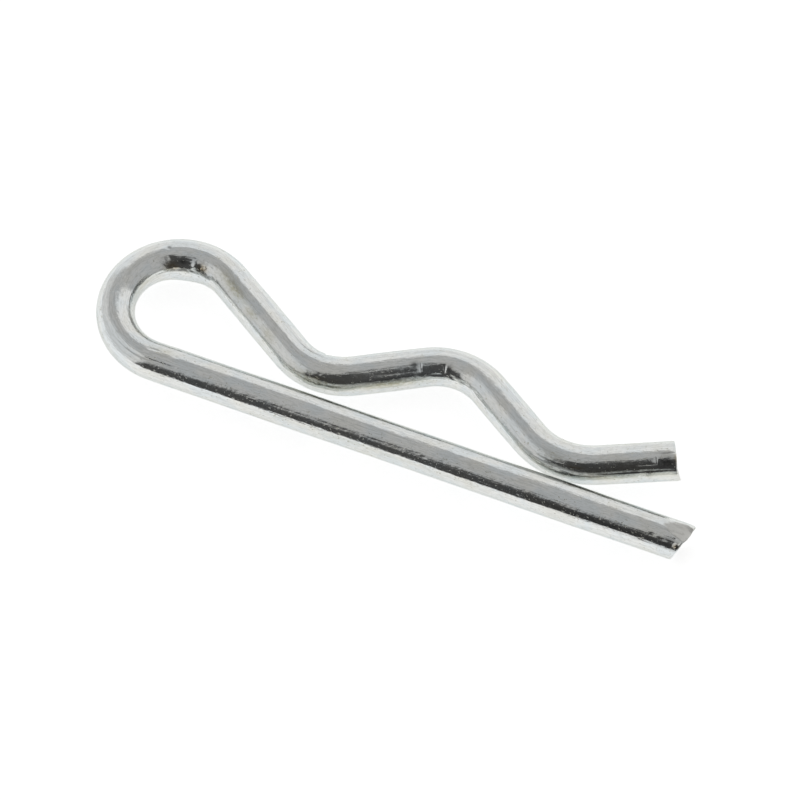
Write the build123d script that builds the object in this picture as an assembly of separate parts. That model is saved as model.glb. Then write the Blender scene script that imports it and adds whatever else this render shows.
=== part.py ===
from build123d import *

import os
from math import cos, radians, sin, tan

# R clip (hairpin cotter) bent from one length of round zinc-plated spring wire.
# It lies flat: the wire's plane is parallel to XY and the lowest line of the wire is at z = 0.
# The straight leg runs along +X, the bow is at -X and the wavy leg is on the +Y side.
# The origin ends up at the middle of the bounding box, on the surface the clip lies on.

# ---- wire ----
wire_diameter = 4.0
leg_length = 56.2  # straight leg, from the bow's tangent point to the middle of its cut

# ---- straight leg's sheared end: how far its cut face is turned from square, in degrees ----
leg_cut_slant = 13.0  # in plan, so that the side next to the wavy leg is the longer
leg_cut_lean = 17.0  # downwards, so that the upper side is the longer

# ---- bow ----
bow_radius = 6.3  # to the wire's centreline

# ---- wavy leg: slopes to the straight leg, in degrees ----
entry_slope = 32.4  # down from the bow to the first valley
rise_slope = 30.0  # up to the hump
fall_slope = 32.3  # down to the second valley
flare_slope = 25.9  # up to the free end

# ---- wavy leg: bends, radii to the wire's centreline ----
first_valley_radius = 6.5
hump_radius = 6.5
second_valley_radius = 7.6

# ---- wavy leg: heights, as gaps between wire surfaces ----
shaft_diameter = 16.0  # cross-drilled shaft that the clip locks
seat_clearance = 0.3  # over the shaft, under the hump
first_valley_gap = 0.95  # over the straight leg
second_valley_gap = 0.45

# ---- flared end ----
flare_length = 7.65  # straight stretch after the second valley's bend, to its square cut

# ---- derived ----
wire_radius = wire_diameter / 2
bow_sweep = 180 + entry_slope
first_valley_height = wire_diameter + first_valley_gap
hump_height = shaft_diameter / 2 + seat_clearance + wire_radius
second_valley_height = wire_diameter + second_valley_gap


def corner_rise(radius, slope_in, slope_out):
    """How far a bend's corner point stands beyond the bend's own extreme."""
    half_turn = radians((slope_in + slope_out) / 2)
    lean = radians((slope_out - slope_in) / 2)
    return radius * cos(lean) / cos(half_turn) - radius


def corner_set_back(radius, slope_in, slope_out):
    """Length of each straight run that the bend takes up, from the corner point."""
    return radius * tan(radians((slope_in + slope_out) / 2))


# corner points of the wavy leg's zigzag, before its bends are rounded
bow_end_x = bow_radius * sin(radians(entry_slope))
bow_end_y = bow_radius * (1 + cos(radians(entry_slope)))
valley_1_y = first_valley_height - corner_rise(first_valley_radius, entry_slope, rise_slope)
valley_1_x = bow_end_x + (bow_end_y - valley_1_y) / tan(radians(entry_slope))
hump_y = hump_height + corner_rise(hump_radius, rise_slope, fall_slope)
hump_x = valley_1_x + (hump_y - valley_1_y) / tan(radians(rise_slope))
valley_2_y = second_valley_height - corner_rise(second_valley_radius, fall_slope, flare_slope)
valley_2_x = hump_x + (hump_y - valley_2_y) / tan(radians(fall_slope))

# straight runs left between the bends
entry_back = corner_set_back(first_valley_radius, entry_slope, rise_slope)
hump_back = corner_set_back(hump_radius, rise_slope, fall_slope)
flare_back = corner_set_back(second_valley_radius, fall_slope, flare_slope)
entry_run = (bow_end_y - valley_1_y) / sin(radians(entry_slope)) - entry_back
rise_run = (hump_y - valley_1_y) / sin(radians(rise_slope)) - entry_back - hump_back
fall_run = (hump_y - valley_2_y) / sin(radians(fall_slope)) - hump_back - flare_back


def heading(slope):
    """Unit direction in the clip's plane, rising by slope degrees towards +X."""
    return Vector(cos(radians(slope)), sin(radians(slope)))


# spare wire at the straight leg's end, taken off again by the slanted cut
cut_spare = wire_radius


def centreline():
    """The wire's centreline, from the straight leg's end round to the flared end."""
    with BuildLine(Plane.XY) as line:
        leg = Line((leg_length + cut_spare, 0), (0, 0))
        bow = JernArc(leg @ 1, leg % 1, bow_radius, -bow_sweep)
        entry = Line(bow @ 1, (bow @ 1) + heading(-entry_slope) * entry_run)
        turn_1 = JernArc(entry @ 1, entry % 1, first_valley_radius, entry_slope + rise_slope)
        rise = Line(turn_1 @ 1, (turn_1 @ 1) + heading(rise_slope) * rise_run)
        turn_2 = JernArc(rise @ 1, rise % 1, hump_radius, -rise_slope - fall_slope)
        fall = Line(turn_2 @ 1, (turn_2 @ 1) + heading(-fall_slope) * fall_run)
        turn_3 = JernArc(fall @ 1, fall % 1, second_valley_radius, fall_slope + flare_slope)
        Line(turn_3 @ 1, (turn_3 @ 1) + heading(flare_slope) * flare_length)
    return line.line


def bend_wire(path):
    """Sweep the round wire along its centreline."""
    start = Plane(origin=path @ 0, z_dir=path % 0)
    return sweep(sections=start * Circle(wire_radius), path=path)


def face_direction(slope, lean):
    """Outward normal of a cut face: slope degrees in plan from +X, looking lean degrees upwards."""
    return heading(slope) * cos(radians(lean)) + Vector(0, 0, sin(radians(lean)))


def shear(wire, middle, normal):
    """Cut off what lies beyond a plane through the middle of an end."""
    waste = Box(
        2 * wire_diameter,
        2 * wire_diameter,
        wire_diameter,
        align=(Align.CENTER, Align.CENTER, Align.MIN),
    )
    return wire - Plane(origin=middle, z_dir=normal) * waste


def make_clip():
    """The whole clip, with its origin under the middle of its bounding box."""
    path = centreline()
    leg_end = (path @ 0) + heading(180) * cut_spare
    clip = shear(bend_wire(path), leg_end, face_direction(-leg_cut_slant, -leg_cut_lean))
    box = clip.bounding_box()
    clip = Pos(-box.center().X, -box.center().Y, -box.min.Z) * clip
    clip.label = "r_clip"
    return clip


os.makedirs("parts", exist_ok=True)
r_clip = make_clip()
export_step(r_clip, "parts/r_clip.step")
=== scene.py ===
import logging
import math
from dataclasses import dataclass, field
from enum import Enum

import bpy
import numpy as np
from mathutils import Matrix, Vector


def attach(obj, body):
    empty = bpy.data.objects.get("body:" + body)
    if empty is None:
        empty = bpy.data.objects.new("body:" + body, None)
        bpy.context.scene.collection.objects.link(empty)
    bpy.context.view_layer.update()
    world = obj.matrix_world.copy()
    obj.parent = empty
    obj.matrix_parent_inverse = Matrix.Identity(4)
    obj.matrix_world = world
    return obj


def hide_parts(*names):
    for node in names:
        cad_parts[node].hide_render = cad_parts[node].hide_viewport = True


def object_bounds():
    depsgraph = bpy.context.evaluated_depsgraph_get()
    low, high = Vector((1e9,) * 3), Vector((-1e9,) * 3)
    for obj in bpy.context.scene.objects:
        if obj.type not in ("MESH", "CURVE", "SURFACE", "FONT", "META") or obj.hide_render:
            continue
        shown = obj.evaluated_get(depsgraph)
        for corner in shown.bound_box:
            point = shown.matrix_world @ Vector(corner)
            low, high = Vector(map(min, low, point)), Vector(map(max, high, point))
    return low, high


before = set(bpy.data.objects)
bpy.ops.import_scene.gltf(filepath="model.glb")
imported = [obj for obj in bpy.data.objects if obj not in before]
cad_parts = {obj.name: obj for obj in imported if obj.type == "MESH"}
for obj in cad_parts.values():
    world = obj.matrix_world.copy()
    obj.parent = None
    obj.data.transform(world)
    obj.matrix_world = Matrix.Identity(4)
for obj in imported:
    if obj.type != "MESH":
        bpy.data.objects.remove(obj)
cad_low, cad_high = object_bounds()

MM = 0.001
NODE = "r_clip"
BODY = "root"
PIT_SEED = 100  # of the first field of pits; each next field takes the next number
NICK_WALL = 9  # steepness of a nick's steep side
STEP_WALL = 6  # steepness of a step
TAIL = 1.2  # how gently a nick or a step runs out, in half-extents
RIM_POWER = 6  # how closely to the rim a cut face's relief reaches
PHASES = 6.3  # range of a fracture wave's phase, about a full turn in radians

log = logging.getLogger("r_clip")


class Dent(Enum):
    """Shapes that a tool or the plating leaves in the wire's surface."""

    PIT = "pit"
    STEP = "step"
    NICK = "nick"
    GROOVE = "groove"
    LIP = "lip"


class Tint(Enum):
    """Discolourings of the plating; each is also the name of a mesh attribute. The soot tint also paints
    shade in grooves and a pit, and paints darker the dark bands that the legs reflect.
    """

    OLIVE = "olive"
    BROWN = "brown"
    # soot, also used as painted shade and as painted darkening of reflected dark bands
    SOOT_AND_SHADE = "soot_and_shade"


@dataclass(frozen=True)
class Stretch:
    """One straight run or bend of the centreline.

    Args:
        name: What the wire does here.
        length: Arc length, in millimetres.
        turn: Change of heading, in degrees, positive to the left of the wire's travel.
    """

    name: str
    length: float
    turn: float = 0.0


@dataclass(frozen=True)
class Mark:
    """One tool mark or nick in the wire's surface.

    Args:
        kind: Shape of the mark.
        at: Place along the wire from the straight leg's cut, in millimetres.
        clock: Clock angle round the wire, in degrees.
        length: Half-extent along the wire, in millimetres.
        width: Half-extent round the wire, in millimetres.
        depth: Depth below the round surface, or height of a lip, in millimetres.
    """

    kind: Dent
    at: float
    clock: float
    length: float
    width: float
    depth: float


@dataclass(frozen=True)
class PitField:
    """Small pits scattered over one patch of the wire.

    Args:
        start: Where the patch begins along the wire, in millimetres.
        end: Where it ends.
        low: Its first clock angle, in degrees.
        high: Its last clock angle.
        count: Number of pits.
        size: Largest half-extent of a pit, in millimetres.
        depth: Largest depth, in millimetres.
    """

    start: float
    end: float
    low: float
    high: float
    count: int
    size: float = 0.2
    depth: float = 0.02

    def scatter(self, seed: int) -> list[Mark]:
        """Draws the pits.

        Args:
            seed: Seed of the draws.

        Returns:
            One mark a pit.
        """
        rng = np.random.default_rng(seed)
        pits = []
        for _ in range(self.count):
            at, clock = rng.uniform(self.start, self.end), rng.uniform(self.low, self.high)
            size = self.size * rng.uniform(0.45, 1.0)
            depth = self.depth * rng.uniform(0.3, 1.0)
            pits.append(Mark(Dent.PIT, at, clock, size * rng.uniform(0.8, 2.0), size, depth))
        return pits


@dataclass(frozen=True)
class Facet:
    """A flat pressed into the straight leg's tip by the shear's clamp.

    Args:
        clock: Clock angle of its middle, in degrees.
        length: How far it reaches along the wire from the cut, in millimetres.
        depth: Its depth at the cut, in millimetres.
    """

    clock: float = 97.0
    length: float = 2.4
    depth: float = 0.38

    def lower(self, radius: float, along: np.ndarray, clock: np.ndarray) -> np.ndarray:
        """Finds how far the flat lies below the round surface.

        Args:
            radius: The wire's radius, in millimetres.
            along: Places along the wire, in millimetres.
            clock: Clock angles, in radians.

        Returns:
            Depths in millimetres, zero outside the flat.
        """
        height = radius - self.depth * np.clip(1 - along / self.length, 0, 1)
        turn = (clock - math.radians(self.clock) + math.pi) % (2 * math.pi) - math.pi
        cosine = np.clip(np.cos(turn), 0.05, None)
        return np.clip(radius - height[:, None] / cosine[None, :], 0, None)


@dataclass(frozen=True)
class StainAndShade:
    """One patch of tint: discoloured plating, or painted shade where a soot patch darkens a groove, a pit
    or a reflected dark band.

    Args:
        kind: Its colour.
        at: Place along the wire, in millimetres.
        clock: Clock angle round the wire, in degrees.
        length: Half-extent along the wire, in millimetres.
        width: Half-extent round the wire, in millimetres.
        amount: Strength from 0 to 1.
    """

    kind: Tint
    at: float
    clock: float
    length: float
    width: float
    amount: float


@dataclass
class WireRoute:
    """The clip's flat centreline, from the straight leg's cut to the flared end's cut.

    Args:
        low: Lowest corner of the clip's box, in metres.
        high: Highest corner of the clip's box, in metres.
        entry_slope: Slope down from the bow to the first valley, in degrees.
        rise_slope: Slope up to the hump.
        fall_slope: Slope down to the second valley.
        flare_slope: Slope up to the flared end.
        valley_radius_1: Radius of the first valley's centreline, in millimetres.
        hump_radius: Radius of the hump's.
        valley_radius_2: Radius of the second valley's.
        valley_height_1: Height of the first valley's centreline over the leg's, in millimetres.
        hump_height: Height of the hump's.
        valley_height_2: Height of the second valley's.
        flare_length: Straight run up to the flared end's cut, in millimetres.
        leg_cut_slant: Slant of the leg's cut in plan, in degrees.
        leg_cut_lean: Its lean, so that the upper side is the longer, in degrees.
        stretches: The runs and bends, which are worked out from the rest.
    """

    low: Vector
    high: Vector
    entry_slope: float = 32.4
    rise_slope: float = 30.0
    fall_slope: float = 32.3
    flare_slope: float = 25.9
    valley_radius_1: float = 6.5
    hump_radius: float = 6.5
    valley_radius_2: float = 7.6
    valley_height_1: float = 4.95
    hump_height: float = 10.3
    valley_height_2: float = 4.45
    flare_length: float = 7.65
    leg_cut_slant: float = 13.0
    leg_cut_lean: float = 17.0
    stretches: list[Stretch] = field(default_factory=list)

    def __post_init__(self) -> None:
        """Works out the wire, bow and leg sizes from the box, then lists the stretches."""
        self.radius = (self.high.z - self.low.z) / 2 / MM
        self.bow_radius = (self.high.y - self.low.y) / 2 / MM - self.radius
        self.leg_y = self.low.y / MM + self.radius
        self.bow_x = self.low.x / MM + self.radius + self.bow_radius
        slant, lean = self.leg_cut_slopes()
        longer = self.radius * math.hypot(slant, lean)
        self.leg_length = self.high.x / MM - longer - self.bow_x
        self.stretches = self._list_stretches()
        self.length = sum(s.length for s in self.stretches)

    def leg_cut_slopes(self) -> tuple[float, float]:
        """Gives how much longer the leg's end gets for each millimetre inwards and upwards."""
        slant = math.tan(math.radians(self.leg_cut_slant))
        lean = math.tan(math.radians(self.leg_cut_lean)) / math.cos(math.radians(self.leg_cut_slant))
        return slant, lean

    @staticmethod
    def _corner(radius: float, slope_in: float, slope_out: float) -> tuple[float, float]:
        """Finds how a bend's corner point lies to the bend.

        Args:
            radius: Radius of the bend's centreline.
            slope_in: Slope before the bend, in degrees.
            slope_out: Slope after the bend, in degrees.

        Returns:
            How far the corner stands beyond the bend's extreme, and how much of each
            neighbouring run the bend takes up.
        """
        half = math.radians((slope_in + slope_out) / 2)
        lean = math.radians((slope_out - slope_in) / 2)
        return radius * math.cos(lean) / math.cos(half) - radius, radius * math.tan(half)

    def _list_stretches(self) -> list[Stretch]:
        """Lists the runs and bends in the order that the wire takes them.

        Returns:
            The stretches, from the straight leg's cut onwards.
        """
        rise_1, back_1 = self._corner(self.valley_radius_1, self.entry_slope, self.rise_slope)
        rise_2, back_2 = self._corner(self.hump_radius, self.rise_slope, self.fall_slope)
        rise_3, back_3 = self._corner(self.valley_radius_2, self.fall_slope, self.flare_slope)
        valley_1 = self.valley_height_1 - rise_1
        hump = self.hump_height + rise_2
        valley_2 = self.valley_height_2 - rise_3
        bow_end = self.bow_radius * (1 + math.cos(math.radians(self.entry_slope)))
        entry = (bow_end - valley_1) / math.sin(math.radians(self.entry_slope)) - back_1
        rise = (hump - valley_1) / math.sin(math.radians(self.rise_slope)) - back_1 - back_2
        fall = (hump - valley_2) / math.sin(math.radians(self.fall_slope)) - back_2 - back_3
        sweep = 180 + self.entry_slope
        turn_1 = self.entry_slope + self.rise_slope
        turn_2 = self.rise_slope + self.fall_slope
        turn_3 = self.fall_slope + self.flare_slope
        return [
            Stretch("straight leg", self.leg_length),
            Stretch("bow", self.bow_radius * math.radians(sweep), -sweep),
            Stretch("entry", entry),
            Stretch("first valley", self.valley_radius_1 * math.radians(turn_1), turn_1),
            Stretch("rise", rise),
            Stretch("hump", self.hump_radius * math.radians(turn_2), -turn_2),
            Stretch("fall", fall),
            Stretch("second valley", self.valley_radius_2 * math.radians(turn_3), turn_3),
            Stretch("flare", self.flare_length),
        ]

    def start_of(self, name: str) -> float:
        """Gives the place along the wire where a stretch begins, in millimetres."""
        names = [s.name for s in self.stretches]
        return sum(s.length for s in self.stretches[: names.index(name)])

    def walk(self, along: np.ndarray) -> tuple[np.ndarray, np.ndarray, np.ndarray]:
        """Follows the centreline.

        Args:
            along: Places along the wire, in millimetres; they may pass either end.

        Returns:
            The points in the clip's plane, the headings in radians, and the curvatures
            in 1/mm, positive to the left.
        """
        point = np.array([self.bow_x + self.leg_length, self.leg_y])
        heading, begin = math.pi, 0.0
        points = np.zeros((len(along), 2))
        headings = np.zeros(len(along))
        bends = np.zeros(len(along))
        last = self.stretches[-1]
        for s in self.stretches:
            end = begin + s.length
            here = (along >= begin) | (begin == 0.0)
            here &= (along < end) | (s is last)
            bend = math.radians(s.turn) / s.length
            points[here] = self._step(point, heading, bend, along[here] - begin)
            headings[here] = heading + bend * (along[here] - begin)
            bends[here] = bend
            point = self._step(point, heading, bend, np.array([s.length]))[0]
            heading += bend * s.length
            begin = end
        return points, headings, bends

    @staticmethod
    def _step(point: np.ndarray, heading: float, bend: float, run: np.ndarray) -> np.ndarray:
        """Moves from a point along a straight run or an arc.

        Args:
            point: Where the stretch begins.
            heading: Heading there, in radians.
            bend: Curvature, in 1/mm.
            run: Distances along the stretch.

        Returns:
            One point for each distance.
        """
        if bend == 0.0:
            return point + run[:, None] * np.array([math.cos(heading), math.sin(heading)])
        turned = heading + bend * run
        across = np.stack([np.sin(turned) - math.sin(heading), math.cos(heading) - np.cos(turned)], 1)
        return point + across / bend


@dataclass(frozen=True)
class Wave:
    """One scale of the drawn wire's unevenness.

    Args:
        height: Spread of its heights, in millimetres.
        count: Number of cosine waves.
        along: Shortest wave along the wire, in millimetres.
        around: Most waves round the wire.
    """

    height: float
    count: int
    along: float
    around: int


@dataclass(frozen=True)
class Fracture:
    """Relief of a sheared cut: a smooth shorn part above a torn one.

    Args:
        edge: Height where the torn part begins, in millimetres above the wire's middle.
        tilt: How much higher it begins for each millimetre outwards.
        sharpness: Steepness of the change between the two parts, in 1/mm.
        depth: Mean depth of the torn part, in millimetres.
        roughness: Height of each wave in it, in millimetres.
        waves: Number of waves.
        shortest: Shortest wave, in millimetres.
        longest: Longest wave, in millimetres.
    """

    edge: float = 0.35
    tilt: float = 0.25
    sharpness: float = 7.0
    depth: float = 0.10
    roughness: float = 0.0055
    waves: int = 70
    shortest: float = 0.60
    longest: float = 2.4

    def sink(self, out: np.ndarray, up: np.ndarray, seed: int) -> np.ndarray:
        """Finds how deep the cut face lies below the plane of the cut.

        Args:
            out: Distances outwards from the wire's middle, in millimetres.
            up: Distances upwards, in millimetres.
            seed: Seed of the waves.

        Returns:
            Depths in millimetres.
        """
        rng = np.random.default_rng(seed)
        torn = 1 / (1 + np.exp(self.sharpness * (up - self.edge - self.tilt * out)))
        rough = np.zeros(out.shape)
        for _ in range(self.waves):
            turn, pitch = rng.uniform(0, math.pi), 2 * math.pi / rng.uniform(self.shortest, self.longest)
            rough += np.cos(pitch * (out * math.cos(turn) + up * math.sin(turn)) + rng.uniform(0, PHASES))
        return np.clip(torn * (self.depth + self.roughness * rough), 0.0, None)


class Waviness:
    """Smooth seeded noise on the unrolled wire, made of a few hundred cosine waves."""

    def __init__(self, seed: int, count: int, along: float, around: int) -> None:
        """Draws the waves.

        Args:
            seed: Seed of the draws.
            count: Number of waves.
            along: Shortest wave along the wire, in millimetres.
            around: Most waves round the wire.
        """
        rng = np.random.default_rng(seed)
        self.pitch = rng.normal(0, 2 * math.pi / along / 2, count)
        self.order = np.rint(rng.normal(0, around / 2, count))
        self.phase = rng.uniform(0, 2 * math.pi, count)
        self.scale = math.sqrt(2 / count)

    def at(self, along: np.ndarray, clock: np.ndarray) -> np.ndarray:
        """Evaluates the noise.

        Args:
            along: Places along the wire, in millimetres.
            clock: Clock angles, in radians.

        Returns:
            Noise of about unit spread, with one row a place and one column an angle.
        """
        total = np.zeros((len(along), len(clock)))
        for pitch, order, phase in zip(self.pitch, self.order, self.phase):
            total += np.cos((pitch * along + phase)[:, None] + order * clock[None, :])
        return total * self.scale


@dataclass
class SpringWire:
    """The whole clip as one swept mesh, with its bends, cuts and tool marks.

    Args:
        route: The centreline.
        marks: Tool marks and nicks.
        stains_and_shade: Tints on the plating, some of them painted shade.
        facet: The flat pressed into the leg's tip.
        facet_wear: How bare of plating that flat is, from 0 to 1.
        fracture: Relief of both cut faces.
        waves: Unevenness of the drawn wire, from coarse to fine.
        rings: Cross-sections along the wire.
        sides: Points round each cross-section.
        mark_crowding: How much closer the cross-sections stand at a sharp mark.
        cut_crowding: How much closer they stand at a cut.
        crowded_length: How far that reaches from a cut, in millimetres.
        cap_rings: Rings in each cut face.
        cap_outer: Size of the outermost of them, as a fraction of the rim.
        cap_inner: Size of the innermost.
        thinning: How much a bend flattens the wire, in mm for each 1/mm of curvature.
        inset: How far the skin lies below the true round, to keep its unevenness inside it.
        rim_depth: How much the cuts' rims are rounded off, in millimetres.
        rim_length: How far along the wire that reaches, in millimetres.
        taper: How far from the leg's cut the cross-sections begin to slant, in millimetres.
        blunt: How far the leg's longer side follows the slant of its cut, in millimetres.
        blunt_slope: Share of the slant that it follows past there.
        burr: How far the flared end's burr stands out, in millimetres.
        burr_length: How far along the wire the burr begins to draw out, in millimetres.
        burr_clock: Clock angle of the burr, in degrees.
        burr_width: Its half-extent round the wire, in millimetres.
        seed: Seed of the first wave; the others and the cut faces take the next numbers.
    """

    route: WireRoute
    marks: list[Mark]
    stains_and_shade: list[StainAndShade]
    facet: Facet = Facet()
    facet_wear: float = 0.85
    fracture: Fracture = Fracture()
    waves: tuple[Wave, ...] = (
        Wave(0.010, 60, 9.0, 3),
        Wave(0.0035, 160, 14.0, 26),
        Wave(0.0030, 260, 0.9, 16),
    )
    rings: int = 600
    sides: int = 160
    mark_crowding: float = 1.6
    cut_crowding: float = 7.0
    crowded_length: float = 0.35
    cap_rings: int = 9
    cap_outer: float = 0.97
    cap_inner: float = 0.06
    thinning: float = 0.30
    inset: float = 0.03
    rim_depth: float = 0.07
    rim_length: float = 0.12
    taper: float = 5.0
    blunt: float = 0.50
    blunt_slope: float = 0.25
    burr: float = 0.36
    burr_length: float = 0.9
    burr_clock: float = 192.0
    burr_width: float = 0.9
    seed: int = 11

    def places(self) -> np.ndarray:
        """Spaces the cross-sections along the wire, closer at the cuts and sharp marks.

        Returns:
            Places in millimetres, from one cut to the other.
        """
        fine = np.linspace(0.0, self.route.length, 10 * self.rings)
        wanted = np.ones(len(fine))
        for mark in self.marks:
            if mark.kind in (Dent.NICK, Dent.STEP, Dent.LIP) and mark.length < 1.0:
                wanted += self.mark_crowding * np.exp(-(((fine - mark.at) / (2 * mark.length + 0.2)) ** 2))
        for end in (0.0, self.route.length):
            wanted += self.cut_crowding * np.exp(-(((fine - end) / self.crowded_length) ** 2))
        total = np.concatenate([[0.0], np.cumsum((wanted[1:] + wanted[:-1]) / 2)])
        return np.interp(np.linspace(0.0, total[-1], self.rings), total, fine)

    def clocks(self) -> np.ndarray:
        """Spaces the points evenly round the wire, in radians."""
        return np.linspace(0, 2 * math.pi, self.sides, endpoint=False)

    def _away(self, clock: np.ndarray, at: float) -> np.ndarray:
        """Measures the distance round the wire from a clock angle, in millimetres."""
        turn = (clock - math.radians(at) + math.pi) % (2 * math.pi) - math.pi
        return turn * self.route.radius

    def relief(self, along: np.ndarray, clock: np.ndarray) -> np.ndarray:
        """Works out how far the surface stands from the true round wire.

        Args:
            along: Places along the wire, in millimetres.
            clock: Clock angles, in radians.

        Returns:
            Heights in millimetres, negative inwards.
        """
        nearby = along[:, None] + np.linspace(-2.0, 2.0, 9)[None, :]
        _, _, bends = self.route.walk(np.clip(nearby, 0.0, self.route.length).ravel())
        smooth = np.abs(bends).reshape(nearby.shape).mean(1)
        height = -self.thinning * smooth[:, None] * np.cos(clock)[None, :] ** 2
        for number, wave in enumerate(self.waves):
            noise = Waviness(self.seed + number, wave.count, wave.along, wave.around)
            height += wave.height * noise.at(along, clock)
        for mark in self.marks:
            if mark.kind is not Dent.LIP:
                height += self._mark(mark, along, clock)
        height = np.minimum(height - self.inset, 0.0)
        height -= self.facet.lower(self.route.radius, along, clock)
        height -= self._broken_edge(along)
        for mark in self.marks:
            if mark.kind is Dent.LIP:
                height += self._mark(mark, along, clock)
        return height

    def _broken_edge(self, along: np.ndarray) -> np.ndarray:
        """Rounds the rims of both cuts a little.

        Args:
            along: Places along the wire, in millimetres.

        Returns:
            Depths in millimetres, one row a place.
        """
        near = np.minimum(along, self.route.length - along)
        return (self.rim_depth * np.clip(1 - near / self.rim_length, 0, 1) ** 2)[:, None]

    def _mark(self, mark: Mark, along: np.ndarray, clock: np.ndarray) -> np.ndarray:
        """Shapes one mark.

        Args:
            mark: The mark.
            along: Places along the wire, in millimetres.
            clock: Clock angles, in radians.

        Returns:
            Heights of the mark, in millimetres.
        """
        height = np.zeros((len(along), len(clock)))
        reach = np.abs(along - mark.at) < 3 * mark.length + 0.5
        if not reach.any():
            return height
        a = ((along[reach] - mark.at) / mark.length)[:, None]
        c = (self._away(clock, mark.clock) / mark.width)[None, :]
        if mark.kind is Dent.PIT:
            shape = -np.exp(-(a**2 + c**2))
        elif mark.kind is Dent.NICK:
            wall = 1 + np.exp(np.clip(NICK_WALL * a, -60, 60))
            shape = -np.exp(np.minimum(a, 0) / TAIL) / wall * np.exp(-(c**4))
        elif mark.kind is Dent.STEP:
            wall = 1 + np.exp(-STEP_WALL * a)
            shape = -1 / wall * np.exp(-np.clip(a, 0, None) / TAIL) * np.exp(-(c**2))
        elif mark.kind is Dent.LIP:
            shape = np.exp(-(a**2)) * np.exp(-(c**2))
        else:
            shape = -np.exp(-(a**4)) * np.exp(-(c**2))
        height[reach] = shape * mark.depth
        return height

    def tint(self, kind: Tint, along: np.ndarray, clock: np.ndarray) -> np.ndarray:
        """Works out how strongly each place is tinted, from 0 to 1, by discolouring and by painted shade.

        Args:
            kind: The discolouring.
            along: Places along the wire, in millimetres.
            clock: Clock angles, in radians.

        Returns:
            Strengths, with one row a place and one column an angle.
        """
        amount = np.zeros((len(along), len(clock)))
        for tint_patch in self.stains_and_shade:
            if tint_patch.kind is kind:
                a = ((along - tint_patch.at) / tint_patch.length)[:, None]
                c = (self._away(clock, tint_patch.clock) / tint_patch.width)[None, :]
                amount += tint_patch.amount * np.exp(-(a**2 + c**2))
        return np.clip(amount, 0, 1)

    def cut_shift(self, along: np.ndarray, clock: np.ndarray) -> np.ndarray:
        """Shears the cross-sections near both ends, so that the last ones lie in the cuts.

        Args:
            along: Places along the wire, in millimetres.
            clock: Clock angles, in radians.

        Returns:
            Shifts along the wire, in millimetres, for points on the round surface.
        """
        slant, lean = self.route.leg_cut_slopes()
        out, up = np.cos(clock) * self.route.radius, np.sin(clock) * self.route.radius
        near_leg = np.clip(1 - along / self.taper, 0, 1)[:, None]
        cut = out * slant - up * lean
        cut = np.where(cut < -self.blunt, -self.blunt + self.blunt_slope * (cut + self.blunt), cut)
        near_flare = np.clip(1 - (self.route.length - along) / self.burr_length, 0, 1)[:, None] ** 2
        burr = self.burr * np.exp(-((self._away(clock, self.burr_clock) / self.burr_width) ** 2))
        return near_leg * cut[None, :] + near_flare * burr[None, :]

    def surface(self, along: np.ndarray, clock: np.ndarray) -> tuple[np.ndarray, np.ndarray]:
        """Places every point of the swept surface.

        Args:
            along: Places along the wire, in millimetres.
            clock: Clock angles, in radians.

        Returns:
            Points in metres, and each point's place on the unrolled wire in millimetres.
        """
        shift = self.cut_shift(along, clock)
        place = along[:, None] + shift
        points, headings, _ = self.route.walk(place.ravel())
        radius = self.route.radius + self.relief(along, clock)
        out = radius * np.cos(clock)[None, :]
        up = radius * np.sin(clock)[None, :]
        x = points[:, 0].reshape(place.shape) - np.sin(headings).reshape(place.shape) * out
        y = points[:, 1].reshape(place.shape) + np.cos(headings).reshape(place.shape) * out
        z = self.route.radius + up
        unrolled = np.stack([place, out, up], -1)
        points = np.stack([x, y, z], -1) * MM
        return np.clip(points, list(self.route.low), list(self.route.high)), unrolled

    def fractions(self) -> np.ndarray:
        """Spaces a cut face's rings, as fractions of the rim's size."""
        return np.linspace(self.cap_outer, self.cap_inner, self.cap_rings)

    def cap(
        self, rim: np.ndarray, place: np.ndarray, inwards: np.ndarray, seed: int
    ) -> tuple[np.ndarray, np.ndarray]:
        """Fills a cut with rings that step in from its rim.

        Args:
            rim: The last cross-section, in metres.
            place: Its places on the unrolled wire, in millimetres.
            inwards: Unit direction back into the wire.
            seed: Seed of the fracture's roughness.

        Returns:
            Rings of points, from just inside the rim to near the middle, in metres, and their
            places.
        """
        steps = self.fractions()[:, None, None]
        rings = rim.mean(0) + (rim - rim.mean(0))[None] * steps
        places = np.repeat(place[None], self.cap_rings, 0)
        places[..., 1:] *= steps
        sunk = self.fracture.sink(places[..., 1], places[..., 2], seed)
        depth = sunk * MM * (1 - steps[..., 0] ** RIM_POWER)
        return rings + depth[..., None] * inwards, places

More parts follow.
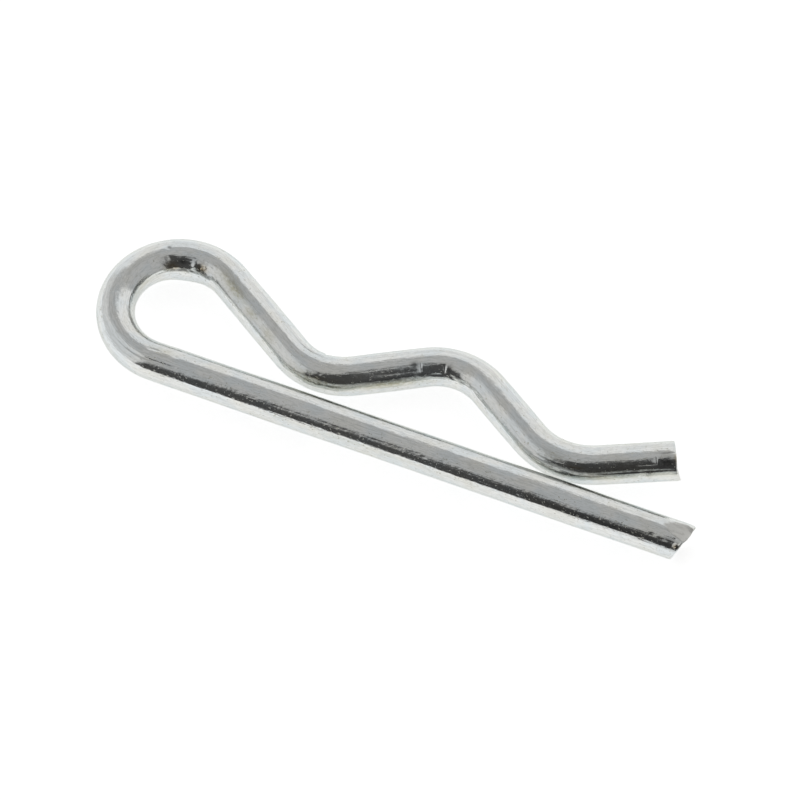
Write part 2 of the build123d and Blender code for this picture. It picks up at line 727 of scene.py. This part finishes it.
    def mesh(self) -> bpy.types.Mesh:
        """Builds the closed mesh with its unrolled places and tints as attributes; some tints are painted
        shade.

        Returns:
            The mesh.
        """
        along, clock = self.places(), self.clocks()
        skin, unrolled = self.surface(along, clock)
        first_in = np.array([-1.0, 0.0, 0.0])
        heading = self.route.walk(np.array([self.route.length]))[1][0]
        last_in = -np.array([math.cos(heading), math.sin(heading), 0.0])
        leg_cap, leg_places = self.cap(skin[0], unrolled[0], first_in, self.seed + 3)
        flare_cap, flare_places = self.cap(skin[-1], unrolled[-1], last_in, self.seed + 4)
        rings = np.concatenate([leg_cap[::-1], skin, flare_cap])
        ends = [rings[0].mean(0), rings[-1].mean(0)]
        mesh = bpy.data.meshes.new(NODE + "_skin")
        mesh.from_pydata(np.concatenate([rings.reshape(-1, 3), ends]).tolist(), [], self._faces(len(rings)))
        mesh.update()
        self._attribute(mesh, "wire_place", np.concatenate([leg_places[::-1], unrolled, flare_places]))
        for kind in Tint:
            self._attribute(mesh, kind.value, self._with_caps(self.tint(kind, along, clock)))
        pressed = self.facet.lower(self.route.radius, along, clock) > 0
        bare = self._with_caps(self.facet_wear * pressed)
        bare[: self.cap_rings] = bare[-self.cap_rings :] = 1.0
        self._attribute(mesh, "bare", bare)
        mesh.shade_smooth()
        self._flatten_caps(mesh, len(rings))
        return mesh

    def _with_caps(self, values: np.ndarray) -> np.ndarray:
        """Repeats the rims' values over the caps."""
        first = np.repeat(values[:1], self.cap_rings, 0)
        last = np.repeat(values[-1:], self.cap_rings, 0)
        return np.concatenate([first, values, last])

    def _flatten_caps(self, mesh: bpy.types.Mesh, count: int) -> None:
        """Keeps the cut faces crisp against the wire's smooth skin.

        Args:
            mesh: The clip's mesh.
            count: Number of rings.
        """
        n, caps = self.sides, self.cap_rings
        smooth = np.ones(len(mesh.polygons), bool)
        smooth[: caps * n] = False
        smooth[(count - 1 - caps) * n :] = False
        mesh.polygons.foreach_set("use_smooth", smooth)

    def _faces(self, count: int) -> list[tuple[int, ...]]:
        """Joins the rings with quads and closes both ends with fans.

        Args:
            count: Number of rings.

        Returns:
            Vertex numbers of each face, wound outwards.
        """
        n = self.sides
        faces: list[tuple[int, ...]] = []
        for i in range(count - 1):
            a, b = i * n, (i + 1) * n
            faces += [(a + j, a + (j + 1) % n, b + (j + 1) % n, b + j) for j in range(n)]
        first, last = count * n, count * n + 1
        faces += [(first, (j + 1) % n, j) for j in range(n)]
        top = (count - 1) * n
        faces += [(last, top + j, top + (j + 1) % n) for j in range(n)]
        return faces

    @staticmethod
    def _attribute(mesh: bpy.types.Mesh, name: str, values: np.ndarray) -> None:
        """Stores one number or vector a vertex; each end point takes its ring's mean.

        Args:
            mesh: The mesh.
            name: Name of the attribute.
            values: The rings' values, with a third axis for vectors.
        """
        vector = values.ndim == 3
        made = mesh.attributes.new(name, "FLOAT_VECTOR" if vector else "FLOAT", "POINT")
        flat = values.reshape(-1, 3) if vector else values.reshape(-1, 1)
        ends = np.stack([values[0].mean(0), values[-1].mean(0)]).reshape(2, -1)
        full = np.concatenate([flat, ends]).astype(np.float32)
        made.data.foreach_set("vector" if vector else "value", full.ravel())

    def build(self, finish: "ZincPlate") -> bpy.types.Object:
        """Makes the clip, dresses it and puts it in place of the plain solid.

        Args:
            finish: The plating.

        Returns:
            The clip.
        """
        piece = bpy.data.objects.new("clip_wire", self.mesh())
        bpy.context.scene.collection.objects.link(piece)
        piece.data.materials.append(finish.material())
        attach(piece, BODY)
        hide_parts(NODE)
        log.info("%s: %d faces", piece.name, len(piece.data.polygons))
        return piece


class NodeSheet:
    """A short way to write a node tree."""

    def __init__(self, tree: bpy.types.NodeTree) -> None:
        """Clears the tree and keeps it."""
        tree.nodes.clear()
        self.tree = tree

    def add(self, kind: str, **settings: object) -> bpy.types.Node:
        """Adds a node and sets its properties.

        Args:
            kind: Blender's name of the node, after ShaderNode.
            **settings: Properties by name.

        Returns:
            The node.
        """
        node = self.tree.nodes.new("ShaderNode" + kind)
        for name, value in settings.items():
            setattr(node, name, value)
        return node

    def link(self, output: bpy.types.NodeSocket, target: bpy.types.NodeSocket) -> None:
        """Joins two sockets."""
        self.tree.links.new(output, target)

    def maths(self, operation: str, *terms: object) -> bpy.types.NodeSocket:
        """Adds one sum on numbers or sockets, kept between 0 and 1 if the last term is True.

        Args:
            operation: Blender's name of the sum.
            *terms: The numbers or sockets, in order.

        Returns:
            The answer's socket.
        """
        clamp = terms[-1] is True
        node = self.add("Math", operation=operation, use_clamp=clamp)
        for place, value in enumerate(terms[:-1] if clamp else terms):
            if isinstance(value, (int, float)):
                node.inputs[place].default_value = value
            else:
                self.link(value, node.inputs[place])
        return node.outputs[0]

    def ramp(self, value: bpy.types.NodeSocket, low: float, high: float) -> bpy.types.NodeSocket:
        """Spreads a value smoothly from 0 at low to 1 at high."""
        node = self.add("MapRange", interpolation_type="SMOOTHSTEP")
        node.inputs["From Min"].default_value = low
        node.inputs["From Max"].default_value = high
        self.link(value, node.inputs["Value"])
        return node.outputs["Result"]

    def noise(
        self, place: bpy.types.NodeSocket, stretch: tuple[float, float, float], detail: float
    ) -> bpy.types.NodeSocket:
        """Adds noise on a stretched copy of a place.

        Args:
            place: The place.
            stretch: Scale along each axis.
            detail: Octaves.

        Returns:
            The noise's value socket.
        """
        scaled = self.add("VectorMath", operation="MULTIPLY")
        scaled.inputs[1].default_value = stretch
        self.link(place, scaled.inputs[0])
        node = self.add("TexNoise")
        node.inputs["Scale"].default_value = 1.0
        node.inputs["Detail"].default_value = detail
        self.link(scaled.outputs[0], node.inputs["Vector"])
        return node.outputs["Fac"]

    def mix(self, amount: object, a: object, b: object) -> bpy.types.NodeSocket:
        """Mixes two colours, each a colour or a socket.

        Args:
            amount: Share of the second colour, as a number or a socket.
            a: First colour.
            b: Second colour.

        Returns:
            The mixed colour's socket.
        """
        node = self.add("Mix", data_type="RGBA")
        for place, value in ((0, amount), (6, a), (7, b)):
            if isinstance(value, (int, float)):
                node.inputs[place].default_value = value
            elif isinstance(value, tuple):
                node.inputs[place].default_value = (*value, 1.0)
            else:
                self.link(value, node.inputs[place])
        return node.outputs[2]


@dataclass(frozen=True)
class ZincPlate:
    """Bright zinc plating over drawn wire.

    Args:
        pale: Colour of clean plating.
        cool: Colour of slightly blue passivated plating.
        warm: Colour of slightly yellow passivated plating.
        shade: Colour of the fine darker mottling.
        steel: Colour of bare steel in the cuts.
        roughness: Roughness of clean plating.
        grain_depth: Height of the bumps, in millimetres.
        sheen: Tint of the plating's reflections at the rim.
        tints: Colour of each discolouring; the soot colour also serves as painted shade and as painted
            darkening of reflected dark bands.
    """

    pale: tuple[float, float, float] = (0.78, 0.79, 0.775)
    cool: tuple[float, float, float] = (0.72, 0.755, 0.765)
    warm: tuple[float, float, float] = (0.755, 0.755, 0.72)
    shade: tuple[float, float, float] = (0.53, 0.545, 0.53)
    steel: tuple[float, float, float] = (0.47, 0.465, 0.44)
    roughness: float = 0.12
    grain_depth: float = 0.034
    sheen: tuple[float, float, float, float] = (0.80, 0.82, 0.80, 1.0)
    tints: tuple[tuple[Tint, tuple[float, float, float]], ...] = (
        (Tint.OLIVE, (0.40, 0.38, 0.27)),
        (Tint.BROWN, (0.52, 0.41, 0.24)),
        # near-black, for soot and also for painted shade in grooves and a pit and on reflected dark bands
        (Tint.SOOT_AND_SHADE, (0.035, 0.033, 0.03)),
    )

    def material(self) -> bpy.types.Material:
        """Makes the plating's node material.

        Returns:
            The material.
        """
        material = bpy.data.materials.new("zinc_plate")
        material.use_nodes = True
        sheet = NodeSheet(material.node_tree)
        place = sheet.add("Attribute", attribute_name="wire_place").outputs["Vector"]
        bare = sheet.add("Attribute", attribute_name="bare").outputs["Fac"]
        streaks = sheet.noise(place, (0.12, 5.0, 5.0), 4.0)
        bands = sheet.noise(place, (0.06, 1.2, 1.2), 2.0)
        grain = sheet.noise(place, (2.6, 4.4, 4.4), 4.0)
        specks = sheet.ramp(sheet.noise(place, (3.4, 5.2, 5.2), 1.0), 0.66, 0.74)
        blotch = sheet.noise(place, (0.35, 0.6, 0.6), 3.0)
        colour = sheet.mix(sheet.ramp(blotch, 0.46, 0.62), self.pale, self.cool)
        colour = sheet.mix(sheet.ramp(blotch, 0.46, 0.34), colour, self.warm)
        dull = sheet.ramp(grain, 0.30, 0.62)
        fine = sheet.noise(place, (1.6, 7.5, 7.5), 3.0)
        shaded = sheet.maths("MULTIPLY", sheet.ramp(fine, 0.44, 0.64), 0.34)
        shaded = sheet.maths("MULTIPLY_ADD", sheet.ramp(streaks, 0.50, 0.66), 0.22, shaded)
        colour = sheet.mix(shaded, colour, self.shade)
        # mixes in each tint; the soot tint is partly painted shade
        for kind, shade in self.tints:
            amount = sheet.add("Attribute", attribute_name=kind.value).outputs["Fac"]
            amount = sheet.maths("MULTIPLY", amount, sheet.maths("MULTIPLY_ADD", dull, 0.5, 0.5), True)
            colour = sheet.mix(amount, colour, shade)
        colour = sheet.mix(sheet.maths("MULTIPLY", specks, 0.45), colour, self.tints[0][1])
        colour = sheet.mix(bare, colour, self.steel)
        rough = sheet.maths("MULTIPLY_ADD", streaks, 0.10, self.roughness - 0.11)
        rough = sheet.maths("MULTIPLY_ADD", grain, 0.12, rough)
        rough = sheet.maths("MULTIPLY_ADD", specks, 0.2, rough)
        rough = sheet.maths("MULTIPLY_ADD", bare, 0.22, rough)
        shader = sheet.add("BsdfPrincipled")
        shader.inputs["Metallic"].default_value = 1.0
        shader.inputs["Specular Tint"].default_value = self.sheen
        sheet.link(colour, shader.inputs["Base Color"])
        sheet.link(rough, shader.inputs["Roughness"])
        height = sheet.maths("MULTIPLY", streaks, 0.45)
        height = sheet.maths("MULTIPLY_ADD", grain, 0.40, height)
        height = sheet.maths("MULTIPLY_ADD", bands, 0.40, height)
        height = sheet.maths("MULTIPLY_ADD", specks, -0.20, height)
        bump = sheet.add("Bump")
        bump.inputs["Strength"].default_value = 1.0
        bump.inputs["Distance"].default_value = self.grain_depth * MM
        sheet.link(height, bump.inputs["Height"])
        sheet.link(bump.outputs["Normal"], shader.inputs["Normal"])
        out = sheet.add("OutputMaterial")
        sheet.link(shader.outputs[0], out.inputs["Surface"])
        return material


@dataclass(frozen=True)
class Panel:
    """A broad soft panel of the studio, as the part of the sky inside a cone.

    Args:
        towards: Direction to the panel's middle.
        edge: Cosine of the angle from there to its edge.
        soft: Half-width of the soft edge, as a cosine.
        level: Brightness of the panel.
        stop: Direction of a neighbour that ends the panel early, if there is one.
        stop_edge: Cosine of the angle from that direction where the panel has half gone.
        stop_soft: Half-width of that end, as a cosine.
    """

    towards: tuple[float, float, float]
    edge: float
    soft: float
    level: float
    stop: tuple[float, float, float] | None = None
    stop_edge: float = 0.0
    stop_soft: float = 0.0


@dataclass(frozen=True)
class Studio:
    """Floor, soft panels and camera.

    Args:
        overhead: Brightness of the sky between the panels.
        panels: The panels; a later one covers the earlier.
        azimuth: The camera's turn round the clip from the front, in degrees.
        elevation: Its height over the floor, in degrees.
        distance: Its distance, in metres.
        lens: Its focal length, in millimetres.
        aim: The point that it looks at, in metres.
        floor_size: Side of the floor, in metres.
        floor_grey: Colour of the floor, on each channel.
        floor_glow: How much the floor adds where it is seen directly or mirrored.
    """

    overhead: float = 0.60
    panels: tuple[Panel, ...] = (
        Panel((0.90, 0.30, 0.30), 0.70, 0.15, 0.62),
        Panel((-0.90, 0.40, 0.10), 0.86, 0.05, 0.90),
        Panel((0.0, 1.0, 0.0), 0.56, 0.04, 1.12),
        Panel((-0.85, -0.45, 0.25), 0.76, 0.06, 0.92),
        Panel((0.837, -0.488, -0.248), 0.0, 0.02, 0.085, (0.80, 0.59, 0.11), 0.20, 0.13),
    )
    azimuth: float = 22.0
    elevation: float = 58.0
    distance: float = 0.90
    lens: float = 409.9
    aim: tuple[float, float, float] = (-0.064 * MM, -1.39 * MM, 2.0 * MM)
    floor_size: float = 20.0
    floor_grey: float = 0.6
    floor_glow: float = 0.76

    def build(self) -> None:
        """Sets up the whole studio."""
        self.world()
        self.floor()
        self.camera()
        bpy.context.scene.view_settings.view_transform = "Standard"

    def world(self) -> None:
        """Lights the scene with the panels."""
        world = bpy.data.worlds.new("studio")
        bpy.context.scene.world = world
        world.use_nodes = True
        sheet = NodeSheet(world.node_tree)
        aim = sheet.add("TexCoord").outputs["Generated"]
        level: object = self.overhead
        for panel in self.panels:
            share = self._beyond(sheet, aim, panel.towards, panel.edge, panel.soft)
            if panel.stop is not None:
                past = self._beyond(sheet, aim, panel.stop, panel.stop_edge, panel.stop_soft)
                share = sheet.maths("MULTIPLY", share, sheet.maths("SUBTRACT", 1.0, past))
            kept = sheet.maths("MULTIPLY", level, sheet.maths("SUBTRACT", 1.0, share))
            level = sheet.maths("MULTIPLY_ADD", share, panel.level, kept)
        background = sheet.add("Background")
        sheet.link(level, background.inputs["Strength"])
        sheet.link(background.outputs[0], sheet.add("OutputWorld").inputs["Surface"])

    @staticmethod
    def _beyond(
        sheet: NodeSheet,
        aim: bpy.types.NodeSocket,
        towards: tuple[float, float, float],
        edge: float,
        soft: float,
    ) -> bpy.types.NodeSocket:
        """Tells how far a direction lies inside a cone, from 0 outside it to 1 inside.

        Args:
            sheet: The world's nodes.
            aim: The direction's socket.
            towards: The cone's axis.
            edge: Cosine of the angle from the axis to the cone's edge.
            soft: Half-width of the soft edge, as a cosine.

        Returns:
            The share's socket.
        """
        dot = sheet.add("VectorMath", operation="DOT_PRODUCT")
        dot.inputs[1].default_value = Vector(towards).normalized()
        sheet.link(aim, dot.inputs[0])
        return sheet.ramp(dot.outputs["Value"], edge - soft, edge + soft)

    def floor(self) -> None:
        """Lays a white floor that keeps the clip's shadow."""
        half = self.floor_size / 2
        corners = [(-half, -half, 0), (half, -half, 0), (half, half, 0), (-half, half, 0)]
        mesh = bpy.data.meshes.new("floor")
        mesh.from_pydata(corners, [], [(0, 1, 2, 3)])
        floor = bpy.data.objects.new("floor", mesh)
        bpy.context.scene.collection.objects.link(floor)
        material = bpy.data.materials.new("white_floor")
        material.use_nodes = True
        sheet = NodeSheet(material.node_tree)
        matt = sheet.add("BsdfDiffuse")
        matt.inputs["Color"].default_value = (*[self.floor_grey] * 3, 1.0)
        glow = sheet.add("Emission")
        seen = sheet.add("LightPath").outputs
        direct = sheet.maths("MAXIMUM", seen["Is Camera Ray"], seen["Is Glossy Ray"])
        direct = sheet.maths("MAXIMUM", direct, seen["Is Transmission Ray"])
        sheet.link(sheet.maths("MULTIPLY", direct, self.floor_glow), glow.inputs["Strength"])
        both = sheet.add("AddShader")
        sheet.link(matt.outputs[0], both.inputs[0])
        sheet.link(glow.outputs[0], both.inputs[1])
        sheet.link(both.outputs[0], sheet.add("OutputMaterial").inputs["Surface"])
        mesh.materials.append(material)

    def camera(self) -> None:
        """Looks down on the clip from the front right."""
        data = bpy.data.cameras.new("camera")
        data.lens = self.lens
        data.clip_start, data.clip_end = 0.01, 10.0
        camera = bpy.data.objects.new("camera", data)
        bpy.context.scene.collection.objects.link(camera)
        a, e = math.radians(self.azimuth), math.radians(self.elevation)
        back = Vector((math.sin(a) * math.cos(e), -math.cos(a) * math.cos(e), math.sin(e)))
        camera.location = Vector(self.aim) + back * self.distance
        camera.rotation_mode = "QUATERNION"
        camera.rotation_quaternion = (-back).to_track_quat("-Z", "Y")
        bpy.context.scene.camera = camera


def tool_marks(route: WireRoute) -> list[Mark]:
    """Lists the marks that the bending and cutting tools left.

    Args:
        route: The centreline, for the places of its bends.

    Returns:
        The marks, with scattered pits last.
    """
    bow, valley_1, rise = route.start_of("bow"), route.start_of("first valley"), route.start_of("rise")
    hump, valley_2, flare = route.start_of("hump"), route.start_of("second valley"), route.start_of("flare")
    marks = [
        Mark(Dent.NICK, rise + 6.60, 119, 0.20, 0.55, 0.120),
        Mark(Dent.GROOVE, rise + 4.40, 129, 2.00, 0.11, 0.065),
        Mark(Dent.STEP, rise + 4.50, 156, 0.45, 0.50, 0.060),
        Mark(Dent.STEP, rise + 6.00, 154, 0.40, 0.50, 0.060),
        Mark(Dent.NICK, hump + 2.10, 130, 0.20, 0.50, 0.120),
        Mark(Dent.GROOVE, hump + 1.20, 146, 0.95, 0.12, 0.035),
        Mark(Dent.STEP, valley_1 + 3.55, 48, 0.35, 1.40, 0.190),
        Mark(Dent.GROOVE, valley_1 + 2.00, 67, 1.70, 0.14, 0.070),
        Mark(Dent.NICK, valley_1 + 2.70, 190, 0.25, 0.70, 0.090),
        Mark(Dent.NICK, valley_1 + 4.50, 190, 0.25, 0.70, 0.080),
        Mark(Dent.GROOVE, bow + 18.30, 127, 0.80, 0.12, 0.030),
        Mark(Dent.PIT, bow + 16.34, 88, 0.18, 0.18, 0.045),
        Mark(Dent.LIP, bow + 19.40, 139, 0.36, 0.34, 0.100),
        Mark(Dent.LIP, bow + 16.90, 148, 0.45, 0.16, 0.045),
        Mark(Dent.LIP, bow + 18.60, 202, 2.90, 1.70, 0.290),
        Mark(Dent.LIP, bow + 21.60, 176, 0.60, 0.90, 0.100),
        Mark(Dent.GROOVE, bow + 0.60, 59, 3.60, 0.13, 0.045),
        Mark(Dent.NICK, flare + 5.70, 119, 0.20, 0.36, 0.110),
        Mark(Dent.GROOVE, flare + 4.70, 129, 0.95, 0.11, 0.060),
        Mark(Dent.GROOVE, flare + 3.30, 148, 3.70, 0.12, 0.040),
        Mark(Dent.STEP, flare + 4.00, 166, 0.50, 0.50, 0.060),
        Mark(Dent.LIP, flare + 4.90, 168, 0.40, 0.45, 0.060),
        Mark(Dent.GROOVE, flare + 6.80, 97, 0.85, 0.10, 0.035),
        Mark(Dent.LIP, flare + 7.65, 186, 0.50, 0.80, 0.140),
        Mark(Dent.PIT, flare + 7.65, 80, 0.35, 0.80, 0.130),
        Mark(Dent.LIP, 0.15, 56, 0.16, 0.35, 0.060),
        Mark(Dent.LIP, 0.50, 44, 0.14, 0.20, 0.070),
        Mark(Dent.PIT, 0.0, 118, 0.40, 1.00, 0.300),
    ]
    fields = [
        PitField(0.0, route.length, 0, 360, 520, 0.16, 0.018),
        PitField(2.0, 55.0, 46, 57, 170, 0.12, 0.014),
        PitField(bow - 2.6, bow + 1.2, 90, 108, 16, 0.20, 0.040),
        PitField(hump + 2.7, hump + 8.0, 144, 172, 170, 0.14, 0.024),
        PitField(valley_2 + 1.5, valley_2 + 5.0, 120, 165, 50, 0.16, 0.022),
        PitField(0.3, 3.0, 48, 66, 22, 0.18, 0.040),
        PitField(valley_1, valley_1 + 6.5, 120, 190, 90, 0.18, 0.022),
        PitField(bow + 13.0, bow + 22.5, 110, 160, 70, 0.16, 0.022),
    ]
    for number, pits in enumerate(fields):
        marks += pits.scatter(PIT_SEED + number)
    return marks


def stains_and_shade(route: WireRoute) -> list[StainAndShade]:
    """Lists the discoloured patches of the plating, and the soot patches that paint shade.

    Args:
        route: The centreline, for the places of its bends.

    Returns:
        The patches.
    """
    bow, entry, valley_1 = route.start_of("bow"), route.start_of("entry"), route.start_of("first valley")
    rise, hump, valley_2 = route.start_of("rise"), route.start_of("hump"), route.start_of("second valley")
    flare = route.start_of("flare")
    return [
        StainAndShade(Tint.SOOT_AND_SHADE, bow + 17.90, 133, 0.90, 0.26, 0.70),
        StainAndShade(Tint.BROWN, bow + 16.40, 145, 1.00, 0.40, 0.85),
        StainAndShade(Tint.BROWN, bow + 20.40, 140, 0.70, 0.40, 0.90),
        StainAndShade(Tint.SOOT_AND_SHADE, bow + 20.90, 152, 0.60, 0.22, 0.80),
        StainAndShade(Tint.SOOT_AND_SHADE, bow + 17.00, 157, 1.20, 0.16, 0.60),
        StainAndShade(Tint.SOOT_AND_SHADE, bow + 18.30, 118, 1.20, 0.07, 0.60),
        # painted shade in the pit at the same place
        StainAndShade(Tint.SOOT_AND_SHADE, bow + 16.34, 88, 0.20, 0.16, 0.60),
        StainAndShade(Tint.OLIVE, entry + 0.60, 112, 1.60, 0.60, 0.50),
        StainAndShade(Tint.OLIVE, entry + 2.40, 118, 1.30, 0.50, 0.70),
        StainAndShade(Tint.OLIVE, entry + 5.20, 126, 0.90, 0.45, 0.60),
        StainAndShade(Tint.OLIVE, entry + 8.00, 128, 1.20, 0.40, 0.35),
        StainAndShade(Tint.OLIVE, valley_1 + 3.60, 152, 2.60, 0.80, 0.60),
        StainAndShade(Tint.BROWN, valley_1 + 4.20, 138, 1.60, 0.25, 0.30),
        StainAndShade(Tint.OLIVE, rise + 3.00, 158, 2.40, 0.45, 0.45),
        StainAndShade(Tint.SOOT_AND_SHADE, rise + 5.95, 111, 0.40, 0.34, 0.85),
        StainAndShade(Tint.SOOT_AND_SHADE, hump + 2.60, 124, 0.35, 0.40, 0.50),
        StainAndShade(Tint.BROWN, valley_2 + 5.70, 133, 0.50, 0.14, 0.90),
        StainAndShade(Tint.OLIVE, valley_2 + 3.60, 120, 1.20, 0.60, 0.35),
        StainAndShade(Tint.BROWN, flare + 1.50, 138, 3.00, 0.45, 0.25),
        StainAndShade(Tint.SOOT_AND_SHADE, flare + 6.70, 124, 0.90, 0.60, 0.55),
        # painted shade along the groove at the same place
        StainAndShade(Tint.SOOT_AND_SHADE, flare + 6.70, 97, 0.85, 0.07, 0.60),
        StainAndShade(Tint.BROWN, flare + 7.55, 118, 0.22, 0.50, 0.60),
        StainAndShade(Tint.BROWN, 0.45, 42, 0.35, 0.26, 0.80),
        StainAndShade(Tint.SOOT_AND_SHADE, 1.40, 56, 0.70, 0.16, 0.60),
        # painted darkening of the dark band that the straight leg reflects
        StainAndShade(Tint.SOOT_AND_SHADE, 6.00, 38, 12.00, 0.36, 0.60),
        # these three paint darker the dark band that the wavy leg reflects
        StainAndShade(Tint.SOOT_AND_SHADE, flare + 2.00, 130, 7.00, 0.50, 0.40),
        StainAndShade(Tint.SOOT_AND_SHADE, flare + 2.50, 147, 5.50, 0.26, 0.60),
        StainAndShade(Tint.SOOT_AND_SHADE, rise + 3.40, 147, 3.60, 0.26, 0.50),
        StainAndShade(Tint.OLIVE, rise + 3.50, 163, 4.50, 0.45, 0.55),
        StainAndShade(Tint.OLIVE, flare + 1.50, 162, 6.00, 0.45, 0.50),
        StainAndShade(Tint.OLIVE, bow + 11.00, 160, 4.00, 0.50, 0.40),
        # painted shade along the groove at the same place
        StainAndShade(Tint.SOOT_AND_SHADE, valley_1 + 2.00, 67, 1.70, 0.09, 0.70),
        StainAndShade(Tint.OLIVE, bow - 1.00, 100, 1.60, 0.30, 0.35),
        StainAndShade(Tint.OLIVE, 33.00, 20, 12.00, 0.40, 0.30),
    ]


def main() -> None:
    """Builds the clip and the studio."""
    logging.basicConfig(level=logging.INFO)
    route = WireRoute(cad_low, cad_high)
    log.info("wire length %.1f mm", route.length)
    SpringWire(route, tool_marks(route), stains_and_shade(route)).build(ZincPlate())
    Studio().build()


if __name__ == "__main__":
    main()
